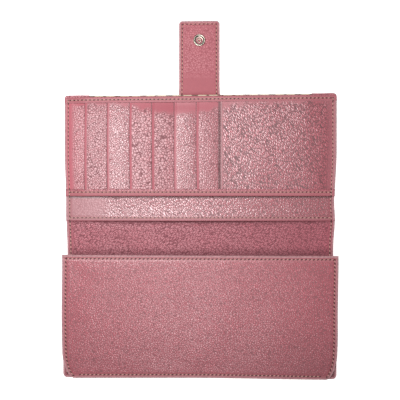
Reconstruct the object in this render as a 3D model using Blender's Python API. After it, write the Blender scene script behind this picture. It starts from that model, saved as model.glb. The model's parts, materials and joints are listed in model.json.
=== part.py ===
"""A long wallet, lying open and flat with its inside up.

The frame is in metres, +Z up out of the inside, +Y towards the closing tab and +X to the right.
The origin is on the outside face of the canvas, in the middle of the soft spine.
Sizes below are in millimetres. Every sheet is a flat plate with its real thickness, and plates
that are sewn or glued together keep a gap of SHEET_GAP between them.

Two fold lines run along X beside the spine, two more cross the closing tab, and the front of the
coin and note compartment swings on its bottom seam. Each moving body hangs from an empty that
stands on its fold line.
"""
import math

import bmesh
import bpy
from mathutils import Vector
from mathutils.geometry import tessellate_polygon

MM = 0.001

# Covers
WIDTH = 190.0                 # across both covers, away from the spine
WAIST = 186.8                 # across the spine
COVER_END = 99.3              # from the origin to either end of the open wallet
WAIST_HALF_LENGTH = 11.0      # the width is WAIST as far as this from the origin
WAIST_TAPER = 50.0            # and grows to WIDTH over this length
TOP_CORNER = 2.2
BOTTOM_CORNER = 4.5
BAND_INNER = 77.8             # the leather side bands start here
CANVAS_HALF = 77.4            # and the canvas between them ends here

# Levels of the sheets above the outside face
SHEET_GAP = 0.2
CANVAS = (0.0, 0.7)
BOARD = (0.9, 1.5)
LINING = (1.7, 2.3)
SLIP_PANEL = (2.5, 3.1)
CARD_BACKING = (3.3, 3.9)
TRIM = (5.8, 6.4)
BOARD_INSET = 1.5
SHEET_INSET = 0.7

# Fold lines: (y, z) of each, and how far it turns in degrees
SPINE_FOLD = (-10.4, 1.15)
COVER_FOLD = (10.0, 1.15)
SPINE_TURN = 92.5
COVER_TURN = 92.5
TAB_ROOT = (COVER_END + 1.3, -0.6)
TAB_ROOT_TURN = 88.0
TAB_BEND_TURN = 360.0 - SPINE_TURN - COVER_TURN - TAB_ROOT_TURN
FOLD_SETBACK = 1.5            # the inside sheets stop this far from a fold line
OUTSIDE_SETBACK = 0.15        # the outside sheets stop this far from it
BOARD_SETBACK = 2.5           # and the stiff boards this far

# Card pockets
SLOT_MOUTHS = (-80.7, -65.1, -49.5, -33.9, -18.3, -2.7)
SLOT_LENGTH = 21.0
SLOT_THICK = 0.5
SLOT_TILT = math.atan((SLOT_THICK + SHEET_GAP) / 15.6)
SIDE_PANEL_MOUTH = 13.9
CARD_HEM_EDGE = 28.2          # lower edge of the card panel
CARD_HEM_WIDTH = 4.8
BINDING_WIDTH = 5.2
TRIM_WALL = 0.5

# Compartment on the lower cover
POUCH_HINGE = (-97.0, 3.2)
POUCH_TILT = math.radians(5.7)
POUCH_HALF_WIDTH = 95.3
POUCH_RUN = (-2.0, 84.6)      # along the panel from the hinge
POUCH_CORNER = (8.0, 18.0)    # half axes of its lower corners
POUCH_LEATHER = (0.1, 0.9)    # across the panel, from the hinge
POUCH_LINING = (-0.5, -0.1)
GUSSET_MOUTH_Y = -14.8
GUSSET_EDGE = 93.6
GUSSET_DEPTH = 9.0            # depth of the inward fold at the mouth
GUSSET_LEAF = 0.8             # thickness of each leaf at the mouth
GUSSET_TAIL = 0.3             # size of the last section, as a share of the mouth's

# Closing tab
TAB_X = -0.9
TAB_WIDTH = 28.7
TAB_END = 152.0
TAB_CORNER = 2.6
TAB_OUTER = (-1.6, -0.9)
TAB_STIFFENER = (-0.7, -0.5)
TAB_INNER = (-0.3, 0.3)
TAB_ANCHOR = (-1.3, -0.3)
TAB_ANCHOR_START = 64.0
TAB_FOLD_SETBACK = 1.0
TAB_STIFFENER_INSET = 3.0

# Press fastener. Heights are above the inside face of the tab, and below the outside of the cover.
SNAP_Y = 138.0
SNAP_DROP = 2.8               # from the cover's outside to the tab's inside face when closed
SHANK_HOLE = 2.0
STUD_HOLE = 1.9
BOARD_HOLE = 4.3
ROUND_STEPS = 28


def turned_point(point, pivot, degrees):
    """A (y, z) point after a turn about a line along +X through pivot."""
    angle = math.radians(degrees)
    y, z = point[0] - pivot[0], point[1] - pivot[1]
    return (pivot[0] + y * math.cos(angle) - z * math.sin(angle),
            pivot[1] + y * math.sin(angle) + z * math.cos(angle))


def closed_cover_point(point):
    """Where a (y, z) point of the upper cover lies when both spine folds are closed."""
    return turned_point(turned_point(point, COVER_FOLD, COVER_TURN), SPINE_FOLD, SPINE_TURN)


def tab_bend_place():
    """The second fold line of the tab, so far out that the closed tab lies SNAP_DROP below."""
    root = closed_cover_point(TAB_ROOT)
    bend_z = -SNAP_DROP - (TAB_INNER[1] - TAB_ROOT[1])
    heading = math.radians(SPINE_TURN + COVER_TURN + TAB_ROOT_TURN)
    return (TAB_ROOT[0] + (bend_z - root[1]) / math.sin(heading), TAB_ROOT[1])


TAB_BEND = tab_bend_place()


def stud_y():
    """Where the fastener's centre meets the lower cover when the wallet is closed."""
    on_tab = turned_point((SNAP_Y, TAB_INNER[1]), TAB_BEND, TAB_BEND_TURN)
    on_cover = turned_point(on_tab, TAB_ROOT, TAB_ROOT_TURN)
    return closed_cover_point(on_cover)[0]


def clear_scene():
    for thing in list(bpy.data.objects):
        bpy.data.objects.remove(thing, do_unlink=True)


def material(name, colour, roughness, metallic=0.0):
    """A Principled material with one colour, roughness and metallic value."""
    made = bpy.data.materials.new(name)
    made.use_nodes = True
    shader = made.node_tree.nodes["Principled BSDF"]
    shader.inputs["Base Color"].default_value = (*colour, 1.0)
    shader.inputs["Roughness"].default_value = roughness
    shader.inputs["Metallic"].default_value = metallic
    made.diffuse_color = (*colour, 1.0)
    return made


def fold_line(name, place, parent=None):
    """An empty on a fold line, from which a moving body hangs."""
    axis = bpy.data.objects.new(name, None)
    axis.empty_display_size = 0.02
    bpy.context.scene.collection.objects.link(axis)
    origin = Vector((0.0, place[0], place[1])) * MM
    axis["origin"] = origin
    if parent:
        axis.parent = parent
        origin = origin - Vector(parent["origin"])
    axis.location = origin
    return axis


def add_object(name, mesh, finish, parent, smooth_angle=None):
    """Put a mesh, made in world millimetres, under its fold line."""
    origin = Vector(parent["origin"]) if parent else Vector()
    for corner in mesh.verts:
        corner.co = corner.co * MM - origin
    bmesh.ops.recalc_face_normals(mesh, faces=mesh.faces)
    data = bpy.data.meshes.new(name)
    mesh.to_mesh(data)
    mesh.free()
    data.materials.append(finish)
    if smooth_angle:
        data.shade_smooth()
        data.set_sharp_from_angle(angle=smooth_angle)
    thing = bpy.data.objects.new(name, data)
    thing.parent = parent
    bpy.context.scene.collection.objects.link(thing)
    return thing


def prism(loops, low, high, along="z"):
    """Extrude an outline, with any holes in it, from low to high.

    Along z the loops hold (x, y). Along x they hold (y, z).
    """
    mesh = bmesh.new()

    def corner(pair, level):
        if along == "z":
            return mesh.verts.new((pair[0], pair[1], level))
        return mesh.verts.new((level, pair[0], pair[1]))

    bottom, top = [], []
    for loop in loops:
        lower = [corner(pair, low) for pair in loop]
        upper = [corner(pair, high) for pair in loop]
        count = len(loop)
        for index in range(count):
            after = (index + 1) % count
            mesh.faces.new((lower[index], lower[after], upper[after], upper[index]))
        bottom += lower
        top += upper
    flat_loops = [[Vector((*pair, 0.0)) for pair in loop] for loop in loops]
    for a, b, c in tessellate_polygon(flat_loops):
        mesh.faces.new((bottom[a], bottom[b], bottom[c]))
        mesh.faces.new((top[a], top[b], top[c]))
    return mesh


def loft(first, last):
    """Join two outlines of the same number of points with flat walls and close the ends."""
    mesh = bmesh.new()
    start = [mesh.verts.new(point) for point in first]
    end = [mesh.verts.new(point) for point in last]
    count = len(first)
    for index in range(count):
        after = (index + 1) % count
        mesh.faces.new((start[index], start[after], end[after], end[index]))
    mesh.faces.new(start)
    mesh.faces.new(end)
    return mesh


def turned(profile, centre, is_ring):
    """Turn a profile of (radius, z) about an upright axis through centre (x, y).

    A ring's profile is closed on itself. Any other starts and ends on the axis.
    """
    mesh = bmesh.new()
    rows = []
    for radius, z in profile:
        if radius == 0.0:
            rows.append([mesh.verts.new((centre[0], centre[1], z))] * ROUND_STEPS)
            continue
        row = []
        for step in range(ROUND_STEPS):
            angle = 2.0 * math.pi * step / ROUND_STEPS
            row.append(mesh.verts.new((centre[0] + radius * math.cos(angle),
                                       centre[1] + radius * math.sin(angle), z)))
        rows.append(row)
    pairs = list(zip(rows, rows[1:]))
    if is_ring:
        pairs.append((rows[-1], rows[0]))
    for inner, outer in pairs:
        for step in range(ROUND_STEPS):
            after = (step + 1) % ROUND_STEPS
            corners = []
            for found in (inner[step], inner[after], outer[after], outer[step]):
                if found not in corners:
                    corners.append(found)
            mesh.faces.new(corners)
    return mesh


def half_width(y):
    """Half the cover's width: WAIST at the spine, growing smoothly to WIDTH."""
    share = min(max((abs(y) - WAIST_HALF_LENGTH) / WAIST_TAPER, 0.0), 1.0)
    return WAIST / 2 + (WIDTH - WAIST) / 2 * share * share * (3.0 - 2.0 * share)


def right_edge(y_near, y_far, inset, corner):
    """The right edge of a cover sheet, from the spine to the far end, with its corner arc."""
    towards = 1.0 if y_far > y_near else -1.0
    straight_end = y_far - towards * corner
    steps = 6
    points = []
    for step in range(steps + 1):
        y = y_near + (straight_end - y_near) * step / steps
        points.append((half_width(y) - inset, y))
    if corner > 0.0:
        centre_x = half_width(y_far) - inset - corner
        for step in range(1, 5):
            angle = math.radians(90.0 * step / 4)
            points.append((centre_x + corner * math.cos(angle),
                           straight_end + towards * corner * math.sin(angle)))
    return points


def mirrored(points):
    """The same points on the other side of the middle line, in the other order."""
    return [(-x, y) for x, y in reversed(points)]


def sheet_outline(y_near, y_far, inset, corner):
    """The outline of a sheet that spans the cover's whole width."""
    right = right_edge(y_near, y_far, inset, corner)
    return right + mirrored(right)


def band_outline(y_near, y_far, corner, side):
    """The outline of one leather side band. side is 1 on the right and -1 on the left."""
    right = right_edge(y_near, y_far, 0.0, corner)
    right += [(BAND_INNER, y_far), (BAND_INNER, y_near)]
    return [(side * x, y) for x, y in right]


def rectangle(x_low, x_high, y_low, y_high):
    return [(x_low, y_low), (x_high, y_low), (x_high, y_high), (x_low, y_high)]


def circle(x, y, radius):
    """A round hole's outline."""
    points = []
    for step in range(ROUND_STEPS):
        angle = 2.0 * math.pi * step / ROUND_STEPS
        points.append((x + radius * math.cos(angle), y + radius * math.sin(angle)))
    return points


def tab_outline(y_low, y_high, inset=0.0, corner=0.0):
    """A length of the tab. A corner above zero rounds its far end."""
    half = TAB_WIDTH / 2 - inset
    right = [(half, y_low)]
    if corner > 0.0:
        for step in range(6):
            angle = math.radians(90.0 * step / 5)
            right.append((half - corner + corner * math.cos(angle),
                          y_high - corner + corner * math.sin(angle)))
    else:
        right.append((half, y_high))
    return [(TAB_X + x, y) for x, y in right + mirrored(right)]


def pouch_outline():
    """The compartment's front, laid flat with y along it from the hinge line."""
    low, high = POUCH_RUN
    across, up = POUCH_CORNER
    right = []
    steps = 8
    for step in range(steps + 1):
        angle = math.radians(90.0 * step / steps)
        right.append((POUCH_HALF_WIDTH - across + across * math.sin(angle),
                      low + up - up * math.cos(angle)))
    right.append((POUCH_HALF_WIDTH, high))
    return right + mirrored(right)


def make_materials():
    """Colours of the object's leather, canvas, board and metal."""
    return {
        "leather": material("rose_leather", (0.47, 0.20, 0.22), 0.55),
        "edge_leather": material("rose_leather_trim", (0.42, 0.17, 0.19), 0.5),
        "lining": material("rose_lining", (0.36, 0.13, 0.16), 0.6),
        "canvas": material("coated_canvas", (0.62, 0.53, 0.40), 0.5),
        "board": material("fibre_board", (0.35, 0.30, 0.26), 0.85),
        "metal": material("nickel", (0.75, 0.74, 0.72), 0.22, 1.0),
        "spring": material("spring_steel", (0.45, 0.45, 0.46), 0.3, 1.0),
    }


def cover_bands(name, y_near, y_far, corner, finish, parent):
    """The two leather bands along the sides of one part of the cover."""
    for word, side in (("left", -1), ("right", 1)):
        loop = band_outline(y_near, y_far, corner, side)
        add_object(f"{name}_band_{word}", prism([loop], *CANVAS), finish, parent)


def lower_cover(mats):
    """The cover that carries the compartment and, outside, the stud of the press fastener."""
    outside = SPINE_FOLD[0] - OUTSIDE_SETBACK
    inside = SPINE_FOLD[0] - FOLD_SETBACK
    centre = (TAB_X, stud_y())
    hole = circle(*centre, STUD_HOLE)
    canvas = rectangle(-CANVAS_HALF, CANVAS_HALF, -COVER_END, outside)
    add_object("lower_outer_canvas", prism([canvas, hole], *CANVAS), mats["canvas"], None)
    cover_bands("lower", outside, -COVER_END, BOTTOM_CORNER, mats["leather"], None)
    board = sheet_outline(SPINE_FOLD[0] - BOARD_SETBACK, -COVER_END + BOARD_INSET, BOARD_INSET,
                          BOTTOM_CORNER)
    board_hole = circle(*centre, BOARD_HOLE)
    add_object("lower_board", prism([board, board_hole], *BOARD), mats["board"], None)
    lining = sheet_outline(inside, -COVER_END + SHEET_INSET, SHEET_INSET, BOTTOM_CORNER)
    add_object("lower_lining", prism([lining], *LINING), mats["lining"], None)
    stud = [(0.0, 1.45), (1.5, 1.45), (1.5, -0.2), (3.9, -0.2), (3.9, -0.45), (3.5, -0.6),
            (1.75, -0.6), (1.75, -1.05), (2.2, -1.15), (2.2, -1.4), (1.8, -1.65), (0.0, -1.65)]
    add_object("snap_stud", turned(stud, centre, False), mats["metal"], None, 0.6)
    back = [(1.8, 1.4), (1.8, 0.95), (4.0, 0.95), (4.0, 1.2), (3.6, 1.4)]
    add_object("snap_stud_back", turned(back, centre, True), mats["metal"], None, 0.6)


def gusset_section(share):
    """A cross section of the right gusset, a V that folds inwards.

    share is 1 at the mouth. Every length in it shrinks with share, towards the point near the
    bottom seam where the front meets the lining, so that each wall of the gusset is flat.
    """
    bottom = LINING[1] + SHEET_GAP
    apex_y = POUCH_HINGE[0] + ((bottom + 0.3 - POUCH_HINGE[1] - POUCH_LINING[0])
                               / math.tan(POUCH_TILT))
    y = apex_y + (GUSSET_MOUTH_Y - apex_y) * share
    top = bottom + (GUSSET_MOUTH_Y - apex_y) * math.tan(POUCH_TILT) * share
    middle = (top + bottom) / 2
    leaf = GUSSET_LEAF * share
    fold = GUSSET_EDGE - GUSSET_DEPTH * share
    return [(GUSSET_EDGE, y, top), (fold, y, middle), (GUSSET_EDGE, y, bottom),
            (GUSSET_EDGE, y, bottom + leaf), (fold + 2 * leaf, y, middle),
            (GUSSET_EDGE, y, top - leaf)]


def gussets(mats):
    """The two bellows that close the compartment's sides, tapering towards the bottom seam."""
    for word, side in (("left", -1), ("right", 1)):
        ends = []
        for share in (1.0, GUSSET_TAIL):
            ends.append([(side * x, y, z) for x, y, z in gusset_section(share)])
        add_object(f"gusset_{word}", loft(*ends), mats["lining"], None)


def pouch_front(mats, axis):
    """The compartment's front: leather outside, lining inside, swinging on its bottom seam."""
    for name, levels, finish in (("pouch_front_leather", POUCH_LEATHER, "leather"),
                                 ("pouch_front_lining", POUCH_LINING, "lining")):
        mesh = prism([pouch_outline()], *levels)
        for corner in mesh.verts:
            corner.co.y += POUCH_HINGE[0]
            corner.co.z += POUCH_HINGE[1]
        panel = add_object(name, mesh, mats[finish], axis)
        panel.rotation_euler.x = POUCH_TILT


def spine(mats, axis):
    """The soft spine between the two fold lines."""
    low = SPINE_FOLD[0] + OUTSIDE_SETBACK
    high = COVER_FOLD[0] - OUTSIDE_SETBACK
    canvas = rectangle(-CANVAS_HALF, CANVAS_HALF, low, high)
    add_object("spine_outer_canvas", prism([canvas], *CANVAS), mats["canvas"], axis)
    cover_bands("spine", low, high, 0.0, mats["leather"], axis)
    lining = sheet_outline(SPINE_FOLD[0] + FOLD_SETBACK, COVER_FOLD[0] - FOLD_SETBACK,
                           SHEET_INSET, 0.0)
    add_object("spine_lining", prism([lining], *LINING), mats["lining"], axis)


def upper_cover(mats, axis):
    """The cover that carries the card pockets, two slip pockets and the closing tab."""
    outside = COVER_FOLD[0] + OUTSIDE_SETBACK
    inside = COVER_FOLD[0] + FOLD_SETBACK
    canvas = rectangle(-CANVAS_HALF, CANVAS_HALF, outside, COVER_END)
    add_object("upper_outer_canvas", prism([canvas], *CANVAS), mats["canvas"], axis)
    cover_bands("upper", outside, COVER_END, TOP_CORNER, mats["leather"], axis)
    board = sheet_outline(COVER_FOLD[0] + BOARD_SETBACK, COVER_END - BOARD_INSET, BOARD_INSET,
                          TOP_CORNER)
    add_object("upper_board", prism([board], *BOARD), mats["board"], axis)
    sheet_end = COVER_END - SHEET_INSET
    for name, start, levels, finish in (
            ("upper_lining", inside, LINING, "lining"),
            ("slip_pocket_panel", inside, SLIP_PANEL, "leather"),
            ("card_panel_backing", CARD_HEM_EDGE + SHEET_INSET, CARD_BACKING, "leather")):
        loop = sheet_outline(start, sheet_end, SHEET_INSET, TOP_CORNER)
        add_object(name, prism([loop], *levels), mats[finish], axis)
    card_pockets(mats, axis)
    long_trims(mats, axis)
    anchor = tab_outline(TAB_ANCHOR_START, TAB_ROOT[0] - 0.2)
    add_object("tab_anchor", prism([anchor], *TAB_ANCHOR), mats["leather"], axis)


def card_pockets(mats, axis):
    """Six card pockets shingled like roof tiles, mouths to the left, and the plain side panel."""
    low = CARD_HEM_EDGE + SHEET_INSET
    high = COVER_END - SHEET_INSET
    seat = CARD_BACKING[1] + SHEET_GAP
    rise = SLOT_LENGTH * math.tan(SLOT_TILT)
    for number, mouth in enumerate(SLOT_MOUTHS, start=1):
        loop = rectangle(-SLOT_LENGTH / math.cos(SLOT_TILT), 0.0, low, high)
        slot = add_object(f"card_slot_{number}", prism([loop], 0.0, SLOT_THICK),
                          mats["leather"], None)
        slot.parent = axis
        slot.location = Vector((mouth + SLOT_LENGTH, 0.0, seat)) * MM - Vector(axis["origin"])
        slot.rotation_euler.y = SLOT_TILT
    panel = rectangle(SIDE_PANEL_MOUTH, half_width(low) - SHEET_INSET, low, high)
    add_object("side_panel", prism([panel], seat + rise, seat + rise + SLOT_THICK),
               mats["leather"], axis)


def long_trims(mats, axis):
    """The hem under the card pockets and the binding at the cover's end, both L-shaped."""
    for name, edge, width, wall_foot, towards in (
            ("card_panel_hem", CARD_HEM_EDGE, CARD_HEM_WIDTH, CARD_BACKING[0], 1.0),
            ("top_binding", COVER_END, BINDING_WIDTH, LINING[0], -1.0)):
        profile = [(edge, wall_foot), (edge, TRIM[1]), (edge + towards * width, TRIM[1]),
                   (edge + towards * width, TRIM[0]), (edge + towards * TRIM_WALL, TRIM[0]),
                   (edge + towards * TRIM_WALL, wall_foot)]
        reach = half_width(edge) - TOP_CORNER
        add_object(name, prism([profile], -reach, reach, along="x"), mats["edge_leather"], axis)


def tab_wrap(mats, axis):
    """The length of the tab that wraps the edge of the closed wallet."""
    outer = tab_outline(TAB_ROOT[0] + 0.2, TAB_BEND[0] - OUTSIDE_SETBACK)
    inner = tab_outline(TAB_ROOT[0] + TAB_FOLD_SETBACK, TAB_BEND[0] - TAB_FOLD_SETBACK)
    add_object("tab_wrap_outer", prism([outer], *TAB_OUTER), mats["leather"], axis)
    add_object("tab_wrap_inner", prism([inner], *TAB_INNER), mats["leather"], axis)


def tab_end(mats, axis):
    """The end of the tab with the socket half of the press fastener."""
    centre = (TAB_X, SNAP_Y)
    hole = circle(*centre, SHANK_HOLE)
    for name, start, inset, levels, finish in (
            ("tab_end_outer", OUTSIDE_SETBACK, 0.0, TAB_OUTER, "leather"),
            ("tab_stiffener", TAB_FOLD_SETBACK, TAB_STIFFENER_INSET, TAB_STIFFENER, "board"),
            ("tab_end_inner", TAB_FOLD_SETBACK, 0.0, TAB_INNER, "leather")):
        loop = tab_outline(TAB_BEND[0] + start, TAB_END - inset, inset, TAB_CORNER)
        add_object(name, prism([loop, hole], *levels), mats[finish], axis)
    face = TAB_INNER[1]
    back = TAB_OUTER[0] - 0.2
    cap = [(0.0, face + 0.85), (1.9, face + 0.85), (2.3, face + 0.7), (2.3, face + 0.55),
           (1.6, face + 0.55), (1.6, back), (5.2, back), (5.2, back - 0.25), (4.6, back - 0.7),
           (3.2, back - 0.95), (0.0, back - 1.05)]
    add_object("snap_cap", turned(cap, centre, False), mats["metal"], axis, 0.6)
    socket = [(2.0, face + 0.15), (4.0, face + 0.15), (4.2, face + 0.35), (4.2, face + 1.7),
              (4.0, face + 1.9), (2.8, face + 1.9), (2.6, face + 1.75), (2.8, face + 1.6),
              (3.85, face + 1.6), (3.85, face + 0.4), (2.0, face + 0.4)]
    add_object("snap_socket", turned(socket, centre, True), mats["metal"], axis, 0.6)
    spring_middle, spring_wire, sides = 3.0, 0.25, 6
    ring = []
    for step in range(sides):
        angle = 2.0 * math.pi * step / sides
        ring.append((spring_middle + spring_wire * math.cos(angle),
                     face + 1.0 - spring_wire * math.sin(angle)))
    add_object("snap_spring_ring", turned(ring, centre, True), mats["spring"], axis, 0.6)


def build():
    clear_scene()
    mats = make_materials()
    lower_cover(mats)
    gussets(mats)
    pouch_front(mats, fold_line("pouch_swing_axis", POUCH_HINGE))
    spine_axis = fold_line("spine_fold_axis", SPINE_FOLD)
    spine(mats, spine_axis)
    cover_axis = fold_line("cover_fold_axis", COVER_FOLD, spine_axis)
    upper_cover(mats, cover_axis)
    root_axis = fold_line("tab_root_axis", TAB_ROOT, cover_axis)
    tab_wrap(mats, root_axis)
    tab_end(mats, fold_line("tab_bend_axis", TAB_BEND, root_axis))
    bpy.context.view_layer.update()


build()
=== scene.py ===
"""Looks of a long wallet, open and flat with its inside up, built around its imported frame.

Sizes are in millimetres. +Y runs towards the closing tab, +Z out of the wallet's inside. Leather,
canvas and trims are slabs worked out on grids; hardware is turned; every stitch is a short thread.
"""
import json
import math

import bpy
import numpy as np
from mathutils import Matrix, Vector


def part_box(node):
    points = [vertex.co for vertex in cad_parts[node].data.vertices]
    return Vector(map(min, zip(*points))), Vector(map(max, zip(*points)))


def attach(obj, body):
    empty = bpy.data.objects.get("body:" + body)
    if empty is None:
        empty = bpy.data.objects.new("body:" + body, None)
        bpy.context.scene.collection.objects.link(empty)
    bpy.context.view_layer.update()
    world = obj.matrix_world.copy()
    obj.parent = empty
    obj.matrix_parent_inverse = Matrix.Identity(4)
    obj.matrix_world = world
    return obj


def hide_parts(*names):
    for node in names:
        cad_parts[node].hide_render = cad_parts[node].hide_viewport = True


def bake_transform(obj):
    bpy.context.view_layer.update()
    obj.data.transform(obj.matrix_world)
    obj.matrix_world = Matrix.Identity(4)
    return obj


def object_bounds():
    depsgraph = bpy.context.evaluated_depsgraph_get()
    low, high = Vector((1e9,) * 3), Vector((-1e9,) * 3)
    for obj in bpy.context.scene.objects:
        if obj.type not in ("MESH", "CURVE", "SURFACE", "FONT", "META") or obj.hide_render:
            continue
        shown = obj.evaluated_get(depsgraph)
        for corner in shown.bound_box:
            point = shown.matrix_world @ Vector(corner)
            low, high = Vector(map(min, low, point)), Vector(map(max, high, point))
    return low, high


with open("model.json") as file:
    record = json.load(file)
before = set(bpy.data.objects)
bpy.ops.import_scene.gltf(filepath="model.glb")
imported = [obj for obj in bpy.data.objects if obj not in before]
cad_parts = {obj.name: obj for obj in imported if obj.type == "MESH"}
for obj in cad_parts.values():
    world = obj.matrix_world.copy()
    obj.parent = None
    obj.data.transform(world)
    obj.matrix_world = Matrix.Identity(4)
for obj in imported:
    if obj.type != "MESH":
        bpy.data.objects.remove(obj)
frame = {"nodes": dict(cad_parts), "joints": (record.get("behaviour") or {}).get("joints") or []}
CAD_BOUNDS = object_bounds()
MM = 0.001


# ---------------------------------------------------------------- places taken from the frame

def box(node):
    """A CAD node's lowest and highest corners in millimetres."""
    low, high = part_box(node)
    return np.array(low) / MM, np.array(high) / MM


def joint_place(name):
    """The y and z of a fold line in millimetres."""
    found = next(joint for joint in frame["joints"] if joint["name"] == name)
    return np.array(found["pos_m"][1:]) / MM


OUTER = box("upper_band_right")[1]
HALF_FULL = OUTER[0]                      # half the width of the covers
COVER_END = OUTER[1]                      # from the origin to either end
HALF_WAIST = box("spine_band_right")[1][0]
LINING_TOP = box("upper_lining")[1][2]
SLIP_TOP = box("slip_pocket_panel")[1][2]
BACKING_TOP = box("card_panel_backing")[1][2]
SIDE_TOP = box("side_panel")[1][2]
CANVAS_TOP = box("upper_outer_canvas")[1][2]
HEM_LOW, HEM_HIGH = box("card_panel_hem")[0][1], box("card_panel_hem")[1][1]
BINDING_LOW = box("top_binding")[0][1]
BAND_INNER = box("upper_band_right")[0][0]
MOUTHS = [box(f"card_slot_{number}")[0][0] for number in range(1, 7)]
SIDE_MOUTH = box("side_panel")[0][0]
SLOT_RUN = box("card_slot_1")[1][0] - box("card_slot_1")[0][0]
SPINE_FOLD = joint_place("spine_fold")
COVER_FOLD = joint_place("cover_fold")
TAB_ROOT = joint_place("tab_root")
TAB_BEND = joint_place("tab_bend")
POUCH_HINGE = joint_place("pouch_swing")
TAB_LOW, TAB_HIGH = box("tab_end_outer")
TAB_MIDDLE = (TAB_LOW[0] + TAB_HIGH[0]) / 2
TAB_HALF = (TAB_HIGH[0] - TAB_LOW[0]) / 2
TAB_TOP = box("tab_end_inner")[1][2]
SNAP_Y = (box("snap_cap")[0][1] + box("snap_cap")[1][1]) / 2
STUD_Y = (box("snap_stud")[0][1] + box("snap_stud")[1][1]) / 2
POUCH_LOW, POUCH_HIGH = box("pouch_front_leather")
POUCH_HALF = POUCH_HIGH[0]

FLARE = 0.7                               # the lower cover's end is this much wider
END_RADIUS = {"lower": 3.0, "upper": 2.2}
SEAM = 2.7                                # stitches run this far inside the covers' edges
PITCH = 2.8                               # from one stitch to the next
GLUED = 1.35                              # a sheet's edge comes down on its neighbour this far in
PAINTED = 0.85                            # edge paint shows this far in from above
SHEET_END = COVER_END - 0.5
SHEET_GAP = 0.2
SLIP_EDGE = COVER_FOLD[0] + 0.75
PANEL_EDGE = HEM_LOW + 0.25
SLOT_SPACING = 15.6                       # from one card pocket's mouth to the next
SLOT_THICK = 0.5
SLOT_TILT = math.atan((SLOT_THICK + SHEET_GAP) / SLOT_SPACING)
SLOT_SEAT = BACKING_TOP + SHEET_GAP
SPINE_MIDDLE = (SPINE_FOLD[0] + COVER_FOLD[0]) / 2
ROOT_BEND = (TAB_ROOT[0] - 2.0, TAB_ROOT[0] + 2.4)
TAB_FOLD = (TAB_BEND[0] - 4.2, TAB_BEND[0] + 4.2)
TAB_SPLIT = (ROOT_BEND[1] + TAB_FOLD[0]) / 2

# Both halves of a sheet that runs over the spine meet in the middle of it.
HALVES = {"lower": (-COVER_END, SPINE_MIDDLE), "upper": (SPINE_MIDDLE, COVER_END)}
FAR_END = {"lower": -COVER_END, "upper": COVER_END}

# Each bend lies between two bodies, and runs from one y to another.
BENDS = {"lower": ("lower_cover", "spine", SPINE_FOLD[0] - 1.2, SPINE_FOLD[0] + 4.5),
         "upper": ("spine", "upper_cover", COVER_FOLD[0] - 4.5, COVER_FOLD[0] + 0.6),
         "root": ("upper_cover", "tab_wrap", *ROOT_BEND),
         "tab": ("tab_wrap", "tab_end", *TAB_FOLD)}


# ---------------------------------------------------------------- shape formulas

def smooth(t):
    """0 below 0, 1 above 1, and 3t^2 - 2t^3 between."""
    t = np.clip(t, 0.0, 1.0)
    return t * t * (3.0 - 2.0 * t)


def half_width(y):
    """Half the cover's width: the waist at the spine, growing smoothly to full width.

    The compartment's end is pulled a little wider by its seams.
    """
    pulled = FLARE * smooth((-60.0 - y) / 36.0)
    return HALF_WAIST + (HALF_FULL - HALF_WAIST) * smooth((np.abs(y) - 11.0) / 50.0) + pulled


def rolled(d, radius):
    """How far a rounded edge drops at distance d inside it: a quarter circle."""
    inside = np.clip(radius - d, 0.0, radius)
    return radius - np.sqrt(radius * radius - inside * inside)


def ridge(d, place, width):
    """A soft ridge or groove across d: a bell curve of height 1 at place."""
    return np.exp(-((d - place) / width) ** 2)


def sewn(d):
    """The groove that a seam pulls into the leather, at distance d inside an edge."""
    return 0.16 * ridge(d, SEAM, 0.5)


def mouth_crease(inside, bead, groove):
    """A folded mouth: a pressed bead along it and a creased line behind the bead."""
    return bead * ridge(inside, 0.75, 0.45) - groove * ridge(inside, 1.75, 0.32)


def waves(x, y, size, seed):
    """Gentle uneven swelling between about -1 and 1: seven sine waves in random directions."""
    draw = np.random.default_rng(seed)
    total = np.zeros(np.broadcast(x, y).shape)
    for _ in range(7):
        turn, start = draw.uniform(0.0, 2.0 * math.pi, 2)
        length = size * draw.uniform(0.7, 1.6)
        total += np.sin((x * math.cos(turn) + y * math.sin(turn)) * 2.0 * math.pi / length + start)
    return total / 4.0


def swelling(height, size, seed, x, y, inside, start=3.5, reach=8.0):
    """Waves of some height that fade out towards an edge, between start and start + reach."""
    return height * waves(x, y, size, seed) * smooth((inside - start) / reach)


def corner_cut(y, end, radius, across=None):
    """How much narrower a side is near its end, where a round or elliptic corner starts."""
    across = radius if across is None else across
    share = np.clip(1.0 - np.abs(end - y) / radius, 0.0, 1.0)
    return across * (1.0 - np.sqrt(1.0 - share * share))


# ---------------------------------------------------------------- mesh makers

def out_of_true(points):
    """The sewn wallet isn't quite square: small shifts of its points along x and y.

    Sides are pushed out by a share (|x| / half width)^4 of a few bell curves and smooth steps
    of y. The tab's end leans up and the compartment's end leans down towards the right.
    """
    x, y = points[:, 0], points[:, 1]
    left = (0.35 + 0.85 * ridge(y, 14.0, 15.0)
            + 1.05 * smooth((-15.0 - y) / 45.0) * (1.0 - 0.35 * smooth((-80.0 - y) / 12.0)))
    right = (0.4 * smooth((y - 25.0) / 40.0) + 1.2 * ridge(y, 10.0, 11.0)
             + 0.4 * ridge(y, -72.0, 14.0))
    out = np.where(x < 0.0, -left, right) * (x / HALF_FULL) ** 4
    lean = (0.9 * (x / HALF_FULL) * smooth((y - 55.0) / 40.0)
            - 1.4 * smooth((x + 10.0) / 110.0) * smooth((-50.0 - y) / 45.0))
    return points + np.stack([out, lean, 0.0 * x], axis=-1)


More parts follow.
